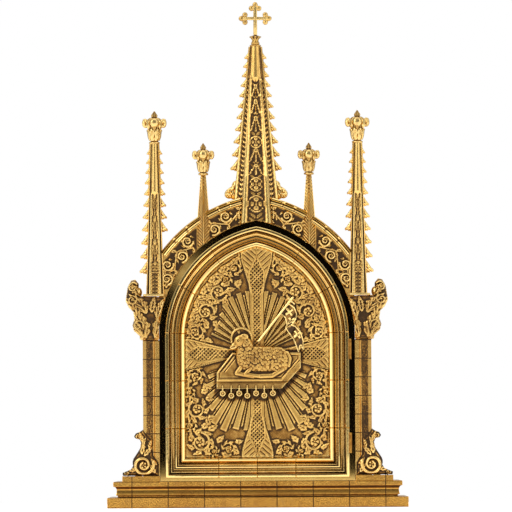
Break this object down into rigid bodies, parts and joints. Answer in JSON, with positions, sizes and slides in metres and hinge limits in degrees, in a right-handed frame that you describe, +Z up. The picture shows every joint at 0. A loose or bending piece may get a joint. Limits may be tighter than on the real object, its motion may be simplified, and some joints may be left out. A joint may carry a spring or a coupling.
{
  "type": "altar tabernacle",
  "caption": "Gothic brass altar tabernacle: hollow cabinet with a hinged arched relief door, pinnacled piers, gable and crocketed spire with a cross.",
  "frame": {"origin": "middle of the underside of the base slab, at floor level", "axes": "+X to the right seen from the front, +Y towards the back, +Z up; the door faces -Y"},
  "size_m": [0.6, 0.4, 1.0121],
  "materials": {
    "satin_brass": "satin, lightly aged",
    "antique_brass": "cast, dark in the recesses and rubbed bright on the high parts",
    "polished_brass": "polished"
  },
  "bodies": {
    "cabinet": {"base_slab": "satin_brass", "plinth": "satin_brass", "cabinet_floor": "satin_brass", "cabinet_back": "satin_brass", "cabinet_roof": "satin_brass", "cabinet_front": "satin_brass", "door_surround": "polished_brass", "foot_block_left": "satin_brass", "cabinet_side_left": "satin_brass", "gable_moulding_left_lower": "polished_brass", "gable_moulding_left_upper": "polished_brass", "spandrel_left_lower": "antique_brass", "spandrel_left_upper": "antique_brass", "pier_left": "satin_brass", "scroll_bracket_left": "antique_brass", "capital_left": "antique_brass", "pinnacle_left": "antique_brass", "pinnacle_finial_left": "antique_brass", "small_pinnacle_left": "satin_brass", "small_finial_left": "antique_brass", "foot_block_right": "satin_brass", "cabinet_side_right": "satin_brass", "gable_moulding_right_lower": "polished_brass", "gable_moulding_right_upper": "polished_brass", "spandrel_right_lower": "antique_brass", "spandrel_right_upper": "antique_brass", "pier_right": "satin_brass", "scroll_bracket_right": "antique_brass", "capital_right": "antique_brass", "pinnacle_right": "antique_brass", "pinnacle_finial_right": "antique_brass", "small_pinnacle_right": "satin_brass", "small_finial_right": "antique_brass", "spire": "antique_brass", "spire_crown": "antique_brass", "cross": "antique_brass", "hinge_pintle_lower": "polished_brass", "hinge_pintle_upper": "polished_brass"},
    "door": {"door_frame": "polished_brass", "door_panel": "antique_brass", "lamb_on_book": "antique_brass", "banner": "polished_brass", "hinge_gudgeon_lower": "polished_brass", "hinge_gudgeon_upper": "polished_brass"}
  },
  "joints": [
    {"name": "door_hinge", "type": "hinge", "parent": "cabinet", "child": "door", "pos_m": [0.1858, -0.1813, 0.2], "axis": [0, 0, 1], "range_deg": [0, 105]}
  ]
}
